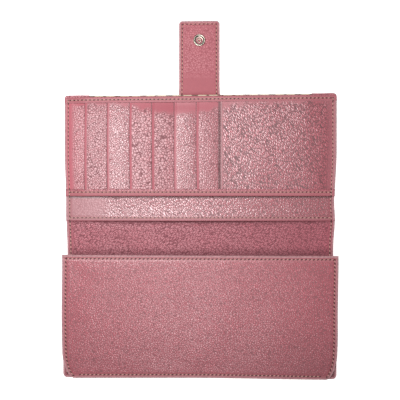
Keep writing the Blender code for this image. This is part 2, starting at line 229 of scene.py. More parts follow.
def put_mesh(name, points, faces, finishes, face_finish=None, sharp=50.0, marks=None):
    """Make an object at the origin from points in millimetres, keeping them as its own map.

    marks holds further values for each point, by name, which the finishes read.
    """
    mesh = bpy.data.meshes.new(name)
    mesh.from_pydata((out_of_true(np.asarray(points)) * MM).tolist(), [], faces)
    for finish in finishes:
        mesh.materials.append(finish)
    if face_finish is not None:
        mesh.polygons.foreach_set("material_index", np.asarray(face_finish, np.int32))
    rest = mesh.attributes.new("rest", "FLOAT_VECTOR", "POINT")
    rest.data.foreach_set("vector", np.asarray(points, np.float32).ravel())
    for label, values in (marks or {}).items():
        mark = mesh.attributes.new(label, "FLOAT", "POINT")
        mark.data.foreach_set("value", np.asarray(values, np.float32))
    mesh.shade_smooth()
    mesh.set_sharp_from_angle(angle=math.radians(sharp))
    thing = bpy.data.objects.new(name, mesh)
    bpy.context.scene.collection.objects.link(thing)
    return thing


def spaced(low, high, step, edges=(0.0, 0.07, 0.2, 0.42, 0.8, 1.3)):
    """Places from low to high: close together beside both ends, then about step apart."""
    edges = np.asarray(edges)
    count = max(2, round((high - low - 2 * edges[-1]) / step))
    middle = np.linspace(low + edges[-1], high - edges[-1], count + 1)
    return np.concatenate([low + edges[:-1], middle, (high - edges[:-1])[::-1]])


def slab(name, ends, side, top, bottom, finish, rim=None, step=1.2, move=None,
         rim_width=0.1, calm=None, painted_shade=None, joined=None):
    """A sheet between two sides and two ends, closed all round.

    side(y) is half its width, or a pair gives its left and right sides. top and bottom give the
    height at x, y and d, where d is the distance to the nearest edge. Faces on the rim, and those
    within rim_width of it on the top, take the rim's finish. calm(x, y, d) says where the grain
    is pressed smooth, and the painted-shade mark, also of x, y and d, where shade is painted in as
    darker colour, both from 0 to 1. joined is the y where the sheet goes on in another piece, so
    that its edge there takes no rim.
    """
    left, right = side if isinstance(side, tuple) else (lambda y: -side(y), side)
    ys = spaced(*ends, step)
    low_x, high_x = left(ys)[:, None], right(ys)[:, None]
    width = float(np.max(high_x - low_x))
    x = low_x + (high_x - low_x) * (spaced(0.0, width, step) / width)[None, :]
    y = np.repeat(ys[:, None], x.shape[1], axis=1)
    across = np.minimum(x - low_x, high_x - x)
    d = np.minimum.reduce([across, y - ys[0], ys[-1] - y])
    upper = np.stack([x, y, top(x, y, d)], axis=-1).reshape(-1, 3)
    lower = np.stack([x, y, bottom(x, y, d)], axis=-1).reshape(-1, 3)
    count = x.size
    index = np.arange(count).reshape(x.shape)
    quad = np.stack([index[:-1, :-1], index[:-1, 1:], index[1:, 1:], index[1:, :-1]], axis=-1)
    quad = quad.reshape(-1, 4)
    loop = np.concatenate([index[0, :-1], index[:-1, -1], index[-1, :0:-1], index[:0:-1, 0]])
    after = np.roll(loop, -1)
    wall = np.stack([loop + count, after + count, after, loop], axis=-1)
    faces = np.concatenate([quad, quad[:, ::-1] + count, wall])
    points = np.concatenate([upper, lower])
    if move is not None:
        points = move(points)
    bare = d
    if joined is not None:
        free = ys[0] if abs(ys[-1] - joined) < 0.01 else ys[-1]
        bare = np.minimum(np.where(np.abs(y - joined) < across, width, across), np.abs(y - free))
    near = np.concatenate([bare.ravel()[quad].min(1) < rim_width, np.zeros(len(quad), bool),
                           np.ones(len(wall), bool)])
    finishes = [finish, rim] if rim else [finish]
    marks = {label: np.concatenate([np.clip(mark(x, y, d), 0.0, 1.0).ravel(), np.zeros(count)])
             for label, mark in (("calm", calm), ("painted_shade", painted_shade)) if mark}
    return put_mesh(name, points, faces.tolist(), finishes, near if rim else None, marks=marks)


def loft(name, rings, finish, tips=None, closed=False, sharp=50.0):
    """Join a row of rings of points, (ring, point, 3).

    A closed loft joins its last ring to its first. An open one ends in two fans, about its tips
    or about the middles of its end rings.
    """
    index = np.arange(rings.shape[0] * rings.shape[1]).reshape(rings.shape[:2])
    turn = np.roll(index, -1, axis=1)
    quad = np.stack([index[:-1], turn[:-1], turn[1:], index[1:]], axis=-1).reshape(-1, 4)
    points = rings.reshape(-1, 3)
    if closed:
        last = np.stack([index[-1], turn[-1], turn[0], index[0]], axis=-1)
        faces = np.concatenate([quad, last]).tolist()
    else:
        tips = (rings[0].mean(0), rings[-1].mean(0)) if tips is None else tips
        points = np.concatenate([points, tips])
        faces = quad.tolist() + [(index.size, b, a) for a, b in zip(index[0], turn[0])]
        faces += [(index.size + 1, a, b) for a, b in zip(index[-1], turn[-1])]
    return put_mesh(name, points, faces, [finish], sharp=sharp)


def turned(name, profile, centre, finish, closed=False, steps=56):
    """Turn a profile of (radius, z) about an upright axis through centre.

    A closed profile makes a ring. An open one starts and ends on the axis, at radius 0.
    """
    profile = np.asarray(profile, float)
    angle = np.arange(steps) * 2.0 * math.pi / steps
    body = profile if closed else profile[1:-1]
    rings = np.stack([centre[0] + body[:, :1] * np.cos(angle),
                      centre[1] + body[:, :1] * np.sin(angle),
                      np.repeat(body[:, 1:], steps, axis=1)], axis=-1)
    tips = [(*centre, profile[0, 1]), (*centre, profile[-1, 1])]
    return loft(name, rings, finish, tips, closed, sharp=40.0)


def arc(centre, radius, start, end, steps=6):
    """Points (r, z) along an arc, angles in degrees from the +r direction towards +z."""
    angle = np.radians(np.linspace(start, end, steps + 1))
    return [(centre[0] + radius * math.cos(a), centre[1] + radius * math.sin(a)) for a in angle]


def along(path, pitch):
    """Even places along a line of points: stitch centres, their headings, and the needle holes."""
    path = np.asarray(path, float)
    legs = np.linalg.norm(np.diff(path, axis=0), axis=1)
    run = np.concatenate([[0.0], np.cumsum(legs)])
    count = max(1, round(run[-1] / pitch))

    def at(places):
        return np.stack([np.interp(places, run, path[:, axis]) for axis in range(3)], axis=-1)

    def heading(places):
        ahead = at(places + 0.4) - at(places - 0.4)
        return ahead / np.linalg.norm(ahead, axis=1, keepdims=True)

    middles = (np.arange(count) + 0.5) * run[-1] / count
    holes = np.arange(count + 1) * run[-1] / count
    return at(middles), heading(middles), at(holes), heading(holes)


def copies(template, faces, centre, ahead, side, normal):
    """A small mesh set down at many places, each turned along its own heading."""
    points = (centre[:, None, :] + ahead[:, None, :] * template[None, :, :1]
              + side[:, None, :] * template[None, :, 1:2] + normal * template[None, :, 2:])
    shifts = np.arange(len(centre)) * len(template)
    placed = [(np.asarray(group)[None, :, :] + shifts[:, None, None]).reshape(-1, len(group[0]))
              for group in faces]
    return points.reshape(-1, 3), [face for group in placed for face in group.tolist()]


STITCH_RINGS = np.array([-1.0, -0.86, -0.45, 0.0, 0.45, 0.86, 1.0])
STITCH_RADIUS, STITCH_SLANT = 0.31, 14.0
HOLE_LENGTH, HOLE_WIDTH = 0.78, 0.5
SIDES = 6                                 # of a thread, and of a needle hole


def stitches(name, runs, up=1.0, length=1.85, hole=1.0, hole_slant=0.0):
    """One piece that holds every stitch of some seams, and the needle holes between them.

    Each stitch is a thread of six sides that rises out of the leather at one end, lies on it and
    dives in at the other: its height is radius * (0.9 - 1.3 u^4) over its length, u from -1 to 1.
    It is turned a little from its seam. A hole is a low dark lens between two stitches, painted
    shade that stands in for the dark inside of a needle hole, sized by hole and turned by
    hole_slant degrees. up is -1 for a seam on the outside of the wallet.
    """
    middles, headings, holes, hole_headings = (
        np.concatenate(part) for part in zip(*[along(run, PITCH) for run in runs]))
    normal = np.array([0.0, 0.0, up])
    side = np.cross(normal, headings)
    turn = math.radians(STITCH_SLANT)
    ahead = headings * math.cos(turn) + side * math.sin(turn)
    side = side * math.cos(turn) - headings * math.sin(turn)
    u = STITCH_RINGS[:, None]
    corner = np.arange(SIDES)
    angle = corner * math.pi / 3.0
    thick = STITCH_RADIUS * (1.0 - 0.75 * u ** 6)
    template = np.stack(np.broadcast_arrays(
        u * length / 2.0, thick * np.cos(angle),
        thick * np.sin(angle) + STITCH_RADIUS * (0.9 - 1.3 * u ** 4)), axis=-1).reshape(-1, 3)
    index = np.arange(len(template)).reshape(-1, SIDES)
    after = np.roll(index, -1, axis=1)
    quad = np.stack([index[:-1], after[:-1], after[1:], index[1:]], axis=-1).reshape(-1, 4)
    caps = np.stack([index[0][::-1], index[-1]])
    threads, thread_faces = copies(template, [quad, caps], middles, ahead, side, normal)
    lens = np.concatenate([np.stack([hole * HOLE_LENGTH * np.cos(angle),
                                     HOLE_WIDTH * np.sin(angle), 0 * angle + 0.08], axis=-1),
                           [(0.0, 0.0, 0.13), (0.0, 0.0, -0.1)]])
    across = np.cross(normal, hole_headings)
    turn = math.radians(hole_slant)
    lens_ahead = hole_headings * math.cos(turn) + across * math.sin(turn)
    following = (corner + 1) % SIDES
    rim = np.concatenate([np.stack([corner, following, 0 * corner + SIDES], axis=-1),
                          np.stack([following, corner, 0 * corner + SIDES + 1], axis=-1)])
    pits, pit_faces = copies(lens, [rim], holes, lens_ahead, np.cross(normal, lens_ahead), normal)
    pit_faces = [[point + len(threads) for point in face] for face in pit_faces]
    kinds = [0] * len(thread_faces) + [1] * len(pit_faces)
    return put_mesh(name, np.concatenate([threads, pits]), thread_faces + pit_faces,
                    [THREAD, NEEDLE_HOLE_SHADE], kinds, sharp=80.0)


def fit(thing, slot, *nodes, on=None, across=None):
    """Hide the nodes that a piece stands for, and put it on the body that it moves with, or across
    a bend bake it where it lies. The slot is not used.
    """
    if nodes:
        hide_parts(*nodes)
    if across:
        body, next_body, start, end = BENDS[across]
        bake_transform(thing)
    else:
        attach(thing, on)


# ---------------------------------------------------------------- finishes

class Nodes:
    """Adds shader nodes to one tree. An input is a value or another node's output socket."""

    def __init__(self, tree):
        self.tree = tree

    def feed(self, node, inputs):
        for key, value in inputs.items():
            if isinstance(value, bpy.types.NodeSocket):
                self.tree.links.new(value, node.inputs[key])
            else:
                node.inputs[key].default_value = value
        return node

    def add(self, kind, inputs=None, **settings):
        node = self.tree.nodes.new("ShaderNode" + kind)
        for key, value in settings.items():
            setattr(node, key, value)
        return self.feed(node, inputs or {})

    def maths(self, operation, first, second=0.0, third=0.0):
        return self.add("Math", {0: first, 1: second, 2: third}, operation=operation).outputs[0]

    def mix(self, share, first, second):
        return self.add("Mix", {0: share, 6: first, 7: second}, data_type="RGBA").outputs[2]

    def ramp(self, value, low, high, to_low=0.0, to_high=1.0):
        """Smooth step of value from low to high."""
        node = self.add("MapRange", {0: value, 1: low, 2: high, 3: to_low, 4: to_high},
                        interpolation_type="SMOOTHSTEP")
        return node.outputs[0]

    def noise(self, place, scale, detail, output="Fac"):
        node = self.add("TexNoise", {"Vector": place, "Scale": scale, "Detail": detail})
        return node.outputs[output]

    def relief(self, height, depth, strength=1.0):
        """A bump of some depth in millimetres."""
        inputs = {"Strength": strength, "Distance": depth * MM, "Height": height}
        return self.add("Bump", inputs).outputs[0]


def start_group(name, inputs, outputs):
    """A node group with its sockets, and the nodes that stand for its two ends."""
    group = bpy.data.node_groups.new(name, "ShaderNodeTree")
    for label, kind, value in inputs:
        socket = group.interface.new_socket(label, in_out="INPUT", socket_type="NodeSocket" + kind)
        if value is not None:
            socket.default_value = value
    for label, kind in outputs:
        group.interface.new_socket(label, in_out="OUTPUT", socket_type="NodeSocket" + kind)
    return group, group.nodes.new("NodeGroupInput"), group.nodes.new("NodeGroupOutput")


def pebble_group():
    """Pebbled leather: low domes with thin creases between them, and a soft mottling.

    Place is in millimetres. Calm, from 0 to 1, is how far the grain has been pressed flat, and
    Wander is how far the creases stray from straight. Height is 1 on a pebble's top and 0 in a
    crease, and Crease is a mask of the creases. Mottle varies slowly over the hide, and Cell
    gives each pebble its own value.
    """
    group, inside, outside = start_group(
        "Pebbled grain",
        [("Place", "Vector", None), ("Pebble Size", "Float", 1.7), ("Crease Width", "Float", 0.16),
         ("Fineness", "Float", 0.06), ("Calm", "Float", 0.0), ("Wander", "Float", 0.8)],
        [("Height", "Float"), ("Crease", "Float"), ("Mottle", "Float"), ("Cell", "Float")])
    n, given = Nodes(group), inside.outputs
    place = given["Place"]
    shift = n.add("VectorMath", {0: n.noise(place, 0.4, 1.0, "Color"), 1: (0.5, 0.5, 0.5)},
                  operation="SUBTRACT")
    moved = n.add("VectorMath", {0: shift.outputs[0], 1: given["Wander"], 2: place},
                  operation="MULTIPLY_ADD")
    cells = {"Vector": moved.outputs[0], "Scale": n.maths("DIVIDE", 1.0, given["Pebble Size"])}
    edge = n.add("TexVoronoi", cells, feature="DISTANCE_TO_EDGE").outputs["Distance"]
    cell = n.add("TexVoronoi", cells, feature="F1")
    own = n.add("SeparateColor", {0: cell.outputs["Color"]}).outputs[0]
    lifted = n.maths("MULTIPLY", n.ramp(edge, 0.0, 0.42), n.maths("MULTIPLY_ADD", own, 0.35, 0.65))
    rough = n.maths("MULTIPLY_ADD", n.noise(place, 2.2, 2.0), given["Fineness"], lifted)
    rough = n.maths("MULTIPLY_ADD", n.noise(place, 0.42, 1.0), 0.3, rough)
    crease = n.ramp(edge, 0.02, given["Crease Width"], 1.0, 0.0)
    left = n.maths("SUBTRACT", 1.0, given["Calm"])
    n.feed(outside, {"Height": n.maths("MULTIPLY", rough, left),
                     "Crease": n.maths("MULTIPLY", crease, left),
                     "Mottle": n.noise(place, 0.045, 3.0), "Cell": own})
    return group


PEBBLES = pebble_group()


def start_material(name):
    made = bpy.data.materials.new(name)
    made.use_nodes = True
    return made, Nodes(made.node_tree), made.node_tree.nodes["Principled BSDF"]


def rest_place(n, turn=0.0, stretch=(1.0, 1.0, 1.0)):
    """The piece's own map in millimetres.

    A pattern on it is turned by some degrees about Z and drawn out by stretch along its own axes.
    """
    own = n.add("Attribute", attribute_name="rest").outputs["Vector"]
    if not turn and stretch == (1.0, 1.0, 1.0):
        return own
    node = n.add("Mapping", {"Vector": own, "Rotation": (0.0, 0.0, math.radians(turn)),
                             "Scale": stretch}, vector_type="TEXTURE")
    return node.outputs[0]


def tinted(colour, factor):
    """A colour made lighter or darker, by one factor or by one each for red, green and blue."""
    factors = factor if isinstance(factor, tuple) else (factor,) * 3
    return tuple(channel * scale for channel, scale in zip(colour, factors)) + (1.0,)


def leather(name, colour, size=1.7, depth=0.12, gloss=0.33, shine=0.8, crease=0.16, dark=0.5,
            turn=0.0, stretch=(1.0, 1.0, 1.0), drawn=(0.8, 0.8, 0.8), wander=0.8):
    """Grained leather: darker creases, partly their own darker dye and partly painted shade, a
    little unevenness, and tops that are rubbed smoother.

    depth is the relief in millimetres, gloss the roughness of the tops, crease the width of a
    crease beside its pebble, and dark how much of the colour is left in it. drawn is how much
    of its red, green and blue is left where the grain has been stretched or pressed smooth.
    """
    made, n, shader = start_material(name)
    calm, painted_shade = [n.add("Attribute", attribute_name=label).outputs["Fac"]
                  for label in ("calm", "painted_shade")]
    grain = n.add("Group", {"Place": rest_place(n, turn, stretch), "Pebble Size": size,
                            "Crease Width": crease, "Calm": calm, "Wander": wander},
                  node_tree=PEBBLES).outputs
    tops = n.mix(n.ramp(grain["Cell"], 0.2, 1.0), tinted(colour, 0.92), tinted(colour, 1.1))
    uneven = n.mix(n.ramp(grain["Mottle"], 0.3, 0.7), tinted(colour, 0.95), tops)
    pressed = n.mix(calm, uneven, tinted(colour, drawn))
    # Darker creases: partly the grain's own dye, partly painted shade.
    crease_dye_and_shade = n.mix(grain["Crease"], pressed, tinted(colour, dark))
    creased = n.ramp(grain["Crease"], 0.0, 1.0, gloss, gloss + 0.3)
    # Painted shade: where the painted-shade mark is 1 the colour goes down to a sixth of itself;
    # the mark also makes the leather rougher.
    n.feed(shader, {
        "Base Color": n.mix(painted_shade, crease_dye_and_shade, tinted(colour, 0.16)),
        "Roughness": n.maths("MULTIPLY_ADD", n.maths("MAXIMUM", calm, painted_shade), 0.24, creased),
        "Normal": n.relief(grain["Height"], depth), "Specular IOR Level": shine})
    return made


def edge_paint(name, colour):
    """Painted cut edge: smooth, slightly streaked along its length."""
    made, n, shader = start_material(name)
    streak = n.ramp(n.noise(rest_place(n), 0.9, 2.0), 0.35, 0.65)
    n.feed(shader, {"Base Color": n.mix(streak, tinted(colour, 0.85), tinted(colour, 1.15)),
                    "Roughness": 0.5, "Specular IOR Level": 0.3})
    return made


def thread(name, colour):
    """Twisted sewing thread: fine slanted ridges."""
    made, n, shader = start_material(name)
    twist = n.add("TexWave", {"Vector": rest_place(n), "Scale": 1.3, "Distortion": 0.6},
                  bands_direction="DIAGONAL").outputs["Fac"]
    n.feed(shader, {"Base Color": n.mix(twist, tinted(colour, 0.78), tinted(colour, 1.1)),
                    "Normal": n.relief(twist, 0.06, 0.6), "Roughness": 0.6})
    return made


def coated_canvas(name, cream, brown, half=9.0):
    """Coated canvas: a fine weave under a satin coat, printed with a plain lozenge lattice.

    Two families of diagonal lines cross. On each, distance rises and falls from 0 on a line to
    half between two, and a small lozenge is printed where both are at their highest.
    """
    made, n, shader = start_material(name)
    place = rest_place(n)
    x, y, _ = n.add("SeparateXYZ", {0: place}).outputs
    diagonals = [n.maths("PINGPONG", n.maths("ADD", n.maths(way, x, y), 400.0), half)
                 for way in ("ADD", "SUBTRACT")]
    line = n.maths("SUBTRACT", 1.0, n.ramp(n.maths("MINIMUM", *diagonals), 0.5, 0.9))
    from_heart = [n.maths("SUBTRACT", half, diagonal) for diagonal in diagonals]
    heart = n.maths("SUBTRACT", 1.0, n.ramp(n.maths("MAXIMUM", *from_heart), 2.3, 2.7))
    weave = [n.add("TexWave", {"Vector": place, "Scale": 0.9}, bands_direction=axis).outputs["Fac"]
             for axis in "XY"]
    blot = n.ramp(n.noise(place, 0.12, 3.0), 0.3, 0.7)
    ground = n.mix(blot, tinted(cream, 0.9), tinted(cream, 1.06))
    n.feed(shader, {
        "Base Color": n.mix(n.maths("MAXIMUM", line, heart), ground, tinted(brown, 1.0)),
        "Normal": n.relief(n.maths("MULTIPLY", *weave), 0.05, 0.7), "Roughness": 0.42})
    return made


def metal(name, colour, roughness):
    """Plated metal with faint hairline wear."""
    made, n, shader = start_material(name)
    drawn = n.add("Mapping", {"Vector": n.add("TexCoord").outputs["Object"],
                              "Rotation": (0.0, 0.0, math.radians(20.0)),
                              "Scale": (MM, 6.0 * MM, MM)}, vector_type="TEXTURE")
    wear = n.noise(drawn.outputs[0], 2.0, 4.0)
    n.feed(shader, {"Roughness": n.ramp(wear, 0.35, 0.7, roughness, roughness + 0.14),
                    "Base Color": n.mix(wear, tinted(colour, 0.9), tinted(colour, 1.06)),
                    "Metallic": 1.0})
    return made


def fibre_board(name, colour):
    """Pressed board, seen only at its edges."""
    made, n, shader = start_material(name)
    fibres = n.noise(n.add("TexCoord").outputs["Object"], 900.0, 4.0)
    n.feed(shader, {"Base Color": n.mix(fibres, tinted(colour, 0.7), tinted(colour, 1.2)),
                    "Roughness": 0.85})
    return made


ROSE = (0.51, 0.135, 0.165)
FLUSHED = (0.92, 0.58, 0.68)
PANEL = leather("rose_pebbled", ROSE, size=1.5, depth=0.075, gloss=0.36, shine=0.8, crease=0.13,
                drawn=FLUSHED)
STRIP = leather("rose_strip", (0.49, 0.12, 0.15), size=1.25, depth=0.085, gloss=0.29,
                shine=1.05, crease=0.18, dark=0.4, turn=-50.0, stretch=(1.8, 0.9, 1.0),
                drawn=(0.72, 0.6, 0.65))
SIDE_GRAIN = leather("rose_streaked", tinted(ROSE, 1.03), size=1.1, depth=0.095, gloss=0.31,
                     shine=1.0, crease=0.18, dark=0.3, turn=-57.0, stretch=(2.5, 0.95, 1.0),
                     drawn=(0.8, 0.66, 0.7), wander=0.2)
POCKET_LOOKS = ((0.91, 0.38, 1.4), (0.91, 0.3, 1.3), (0.94, 0.39, 1.8), (0.91, 0.41, 1.8),
                (0.92, 0.28, 1.3), (0.93, 0.35, 1.5))
SLOT_GRAINS = [leather(f"rose_pocket_{number}", tinted(ROSE, shade), size=size, depth=0.075,
                       gloss=gloss, shine=0.95, crease=0.15, dark=0.45, drawn=FLUSHED)
               for number, (shade, gloss, size) in enumerate(POCKET_LOOKS, start=1)]
POUCH_GRAIN = leather("rose_front", (0.505, 0.122, 0.153), size=1.35, depth=0.065, gloss=0.27,
                      shine=0.95, dark=0.5)
TAB_GRAIN = leather("rose_tab", tinted(ROSE, 1.02), size=1.6, depth=0.05, gloss=0.46, shine=0.5,
                    dark=0.72)
TRIM = leather("rose_trim", tinted(ROSE, 1.03), size=1.5, depth=0.07, gloss=0.36, shine=0.75,
               dark=0.45)
LINING = leather("rose_lining", (0.47, 0.105, 0.142), size=0.95, depth=0.06, gloss=0.42,
                 shine=0.6, crease=0.2, dark=0.42, turn=35.0, stretch=(2.7, 0.95, 1.0),
                 wander=0.2)
EDGE = edge_paint("edge_paint", (0.46, 0.235, 0.25))
THREAD = thread("thread", (0.66, 0.41, 0.34))
# Painted shade: a dark finish that stands in for the shade inside the needle holes.
NEEDLE_HOLE_SHADE = edge_paint("needle_hole_shade", (0.09, 0.03, 0.03))
CANVAS = coated_canvas("coated_canvas", (0.62, 0.52, 0.37), (0.15, 0.085, 0.05))
NICKEL = metal("nickel", (0.5, 0.45, 0.38), 0.3)
STEEL = metal("spring_steel", (0.16, 0.15, 0.13), 0.4)
BOARD = fibre_board("fibre_board", (0.3, 0.25, 0.2))


# ---------------------------------------------------------------- outside of the covers

def flat(level):
    """A plain surface at one height."""
    return lambda x, y, d: np.full(x.shape, level)


def nodes_of(half, sheet):
    """The nodes that one half of a sheet stands for. The spine's goes with the lower half."""
    return [f"{part}_{sheet}" for part in (("lower", "spine") if half == "lower" else ("upper",))]


def outer_canvas(half):
    edge = BAND_INNER - 0.3
    thing = slab(f"outer_canvas_{half}", HALVES[half], lambda y: edge + 0 * y, flat(CANVAS_TOP),
                 flat(0.0), CANVAS, step=2.0)
    fit(thing, "coated_canvas", *nodes_of(half, "outer_canvas"), across=half)


def side_band(half, sign):
    """The leather band along one side, lapped over the canvas and stitched down."""
    hand = "right" if sign > 0 else "left"
    lap = BAND_INNER - 1.8

    def inner(y):
        return lap + 0 * y

    def outer(y):
        return half_width(y) - corner_cut(y, FAR_END[half], END_RADIUS[half])

    def under(x, y, d):
        return -0.35 + rolled(d, 0.25) + 0.1 * ridge(np.abs(x), BAND_INNER + 0.6, 0.5)

    def over(x, y, d):
        return np.where(np.abs(x) < BAND_INNER + 0.2, -0.04, CANVAS_TOP)

    sides = (inner, outer) if sign > 0 else (lambda y: -outer(y), lambda y: -inner(y))
    thing = slab(f"side_band_{half}_{hand}", HALVES[half], sides, over, under, PANEL, EDGE,
                 step=1.4, rim_width=0.3, joined=SPINE_MIDDLE)
    fit(thing, "rose_leather", *nodes_of(half, f"band_{hand}"), across=half)


def gape(x):
    """How far the long pocket stands open: 1 in the middle and 0 at its ends."""
    return np.clip(1.0 - (x / 91.0) ** 2, 0.0, 1.0)


def valley(x, y):
    """The soft spine dips along its fold, in front of the long pocket's lip."""
    return 0.8 * np.exp(-((y - 9.6) / 1.9) ** 2) * gape(x)


def cover_lining(half):
    """Lining leather over the inside of one cover and half the spine."""
    end = FAR_END[half] + (0.3 if half == "lower" else -0.4)
    ends = (end, SPINE_MIDDLE) if half == "lower" else (SPINE_MIDDLE, end)

    def side(y):
        return half_width(y) - 0.15 - corner_cut(y, end, END_RADIUS[half])

    def top(x, y, d):
        inside = np.minimum(side(y) - np.abs(x), np.abs(y - end))
        swell = swelling(0.14, 24.0, 3, x, y, inside)
        return LINING_TOP + swell - sewn(inside) - rolled(inside, 0.5) - valley(x, y)

    def bottom(x, y, d):
        inside = np.minimum(side(y) - np.abs(x), np.abs(y - end))
        return np.where(inside < GLUED, CANVAS_TOP + 0.03, LINING_TOP - 0.6 - valley(x, y))

    def pressed(x, y, d):
        return smooth((5.0 - (side(y) - np.abs(x))) / 2.0) * 0.8

    # Painted shade: darker in the dip in front of the long pocket's lip, on the cover from the
    # compartment's mouth down, and in the right corner beyond the compartment.
    def painted_shade_mask(x, y, d):
        near_lip = smooth((y - (SLIP_EDGE - 2.2)) / 1.9) * (0.35 + 0.65 * gape(x))
        near_mouth = 0.35 * smooth((-8.0 - y) / 5.0)
        near_corner = 0.6 * smooth((x - 84.0) / 6.0) * smooth((-80.0 - y) / 10.0)
        return np.maximum.reduce([0.9 * near_lip, near_mouth, near_corner])

    thing = slab(f"lining_{half}", ends, side, top, bottom, LINING, EDGE, rim_width=PAINTED,
                 calm=pressed, painted_shade=painted_shade_mask, joined=SPINE_MIDDLE)
    fit(thing, "rose_lining", *nodes_of(half, "lining"), across=half)


for each_half in HALVES:
    outer_canvas(each_half)
    cover_lining(each_half)
    for each_side in (-1, 1):
        side_band(each_half, each_side)


# ---------------------------------------------------------------- inside of the upper cover

def panel_side(y):
    return half_width(y) - 0.05 - corner_cut(y, COVER_END, END_RADIUS["upper"])


def edge_inside(x, y):
    """How far a point lies inside the sheets' side and far edges."""
    return np.minimum(panel_side(y) - np.abs(x), SHEET_END - y)


def slip_lift(x, y):
    """The lip stands a little away from the cover in its middle."""
    return 0.9 * gape(x) * smooth(1.0 - (y - SLIP_EDGE) / 10.0)


def slip_level(x, y, d):
    """Slip pocket: seams at the sides, and a pressed bead along its lip."""
    side = edge_inside(x, y)
    lip = y - SLIP_EDGE
    bead = 0.14 * ridge(lip, 0.9, 0.55) - 0.16 * ridge(lip, 2.3, 0.5)
    swell = swelling(0.1, 24.0, 11, x, y, side)
    return (SLIP_TOP + slip_lift(x, y) + bead + swell - sewn(side)
            - rolled(np.minimum(side, lip), 0.45))


def slip_under(x, y, d):
    return np.where(edge_inside(x, y) < GLUED, LINING_TOP + 0.02,
                    SLIP_TOP - 0.62 + slip_lift(x, y))


def slip_calm(x, y, d):
    """Pressed smooth along the seams and the lip, and at the pocket's left end."""
    side, lip = edge_inside(x, y), y - SLIP_EDGE
    edge = smooth((5.0 - side) / 2.0) + smooth((3.6 - lip) / 1.2)
    return edge + 0.62 * smooth((-60.0 - x + 2.0 * waves(x, y, 9.0, 12)) / 12.0)


def slip_painted_shade(x, y, d):
    """Painted shade: darker just below the hem that lies on it, and a little towards both ends,
    standing in for weaker light there.
    """
    below = 0.95 * smooth((y - HEM_LOW + 1.7) / 1.3) * smooth((edge_inside(x, y) - 0.5) / 2.0)
    return np.maximum(below, 0.1 * smooth((np.abs(x - 8.0) - 30.0) / 40.0))


fit(slab("slip_pocket", (SLIP_EDGE, SHEET_END), panel_side, slip_level, slip_under, STRIP, EDGE,
         step=1.1, rim_width=PAINTED, calm=slip_calm, painted_shade=slip_painted_shade, joined=SLIP_EDGE),
    "rose_leather", "slip_pocket_panel", on="upper_cover")


def top_hollow(x, y):
    """The pockets are drawn down to the binding, most of all below the tab's left side."""
    near = smooth((y - (BINDING_LOW - 13.0)) / 13.0)
    return near ** 2 * (0.35 + 0.75 * np.exp(-((x + 20.0) / 24.0) ** 2))


def top_calm(x, y):
    """The grain is stretched smooth there."""
    reach = 8.0 * np.exp(-((x + 14.0) / 32.0) ** 2) + 2.0
    return 0.9 * smooth((y - (BINDING_LOW - reach) + 1.5 * waves(x, y, 7.0, 13)) / 4.0)


def backing_level(x, y, d):
    side = edge_inside(x, y)
    swell = swelling(0.08, 18.0, 21, x, y, side, reach=6.0)
    return (BACKING_TOP + swell - sewn(side) - rolled(side, 0.45)
            + 0.25 * smooth((side - 2.0) / 8.0))


def backing_calm(x, y, d):
    return smooth((7.0 - edge_inside(x, y)) / 3.0) + top_calm(x, y)


def backing_under(x, y, d):
    return np.where(edge_inside(x, y) < GLUED, SLIP_TOP - 0.05, BACKING_TOP - 0.6)


def backing_painted_shade(x, y, d):
    """Painted shade: dark from the first pocket's mouth on, behind the pockets that lie over it."""
    return 0.8 * smooth((x - MOUTHS[0] + 1.0) / 1.0)


fit(slab("card_panel", (PANEL_EDGE, SHEET_END), panel_side, backing_level, backing_under, PANEL,
         EDGE, step=1.1, rim_width=PAINTED, calm=backing_calm, painted_shade=backing_painted_shade),
    "rose_leather", "card_panel_backing", on="upper_cover")


def slot_level(x, mouth):
    """Top of a card pocket's plain slope, down from its mouth."""
    return SLOT_SEAT + (mouth + SLOT_RUN - x) * math.tan(SLOT_TILT) + SLOT_THICK


def card_slot(number, mouth):
    """One card pocket: a folded mouth with a creased line beside it, bowed a little open."""
    low, high = PANEL_EDGE + 0.4, SHEET_END - 0.4
    draw = np.random.default_rng(40 + number)
    bow, lean = draw.uniform(0.15, 0.4), draw.uniform(-0.25, 0.25)
    arch = draw.uniform(0.25, 0.4)

    def mouth_x(y):
        share = (y - low) / (high - low)
        return mouth - bow * np.sin(math.pi * share) + lean * (share - 0.5)

    def belly(x, inside, y):
        """The pocket arches up between its mouth and the next one, and is drawn down above."""
        share = (y - low) / (high - low)
        across = np.clip(inside / SLOT_SPACING, 0.0, 1.0)
        rise = arch * 4.0 * across * (1.0 - across) * np.sin(math.pi * share) ** 0.5
        return rise - 0.8 * top_hollow(x, y)

    def top(x, y, d):
        inside = x - mouth_x(y)
        crease = mouth_crease(inside, 0.12, 0.15)
        swell = 0.07 * waves(x, y, 16.0, 60 + number)
        return slot_level(x, mouth) + belly(x, inside, y) + crease + swell - rolled(inside, 0.32)

    def bottom(x, y, d):
        inside = x - mouth_x(y)
        return slot_level(x, mouth) - SLOT_THICK - 0.04 + belly(x, inside, y) + rolled(inside, 0.12)

    def pressed(x, y, d):
        inside = x - mouth_x(y)
        ends = smooth((2.2 - (y - low)) / 1.5)
        return smooth((2.2 - inside) / 0.9) + top_calm(x, y) + ends

    # Painted shade: dark under the next pocket's mouth, which lies over this pocket's far end.
    def painted_shade_mask(x, y, d):
        return 0.75 * smooth((x - mouth - SLOT_SPACING + 0.75) / 0.6)

    sides = (mouth_x, lambda y: mouth + SLOT_RUN - 0.4 + 0 * y)
    thing = slab(f"card_pocket_{number}", (low, high), sides, top, bottom,
                 SLOT_GRAINS[number - 1], EDGE, step=0.8, calm=pressed, painted_shade=painted_shade_mask)
    fit(thing, "rose_leather", f"card_slot_{number}", on="upper_cover")


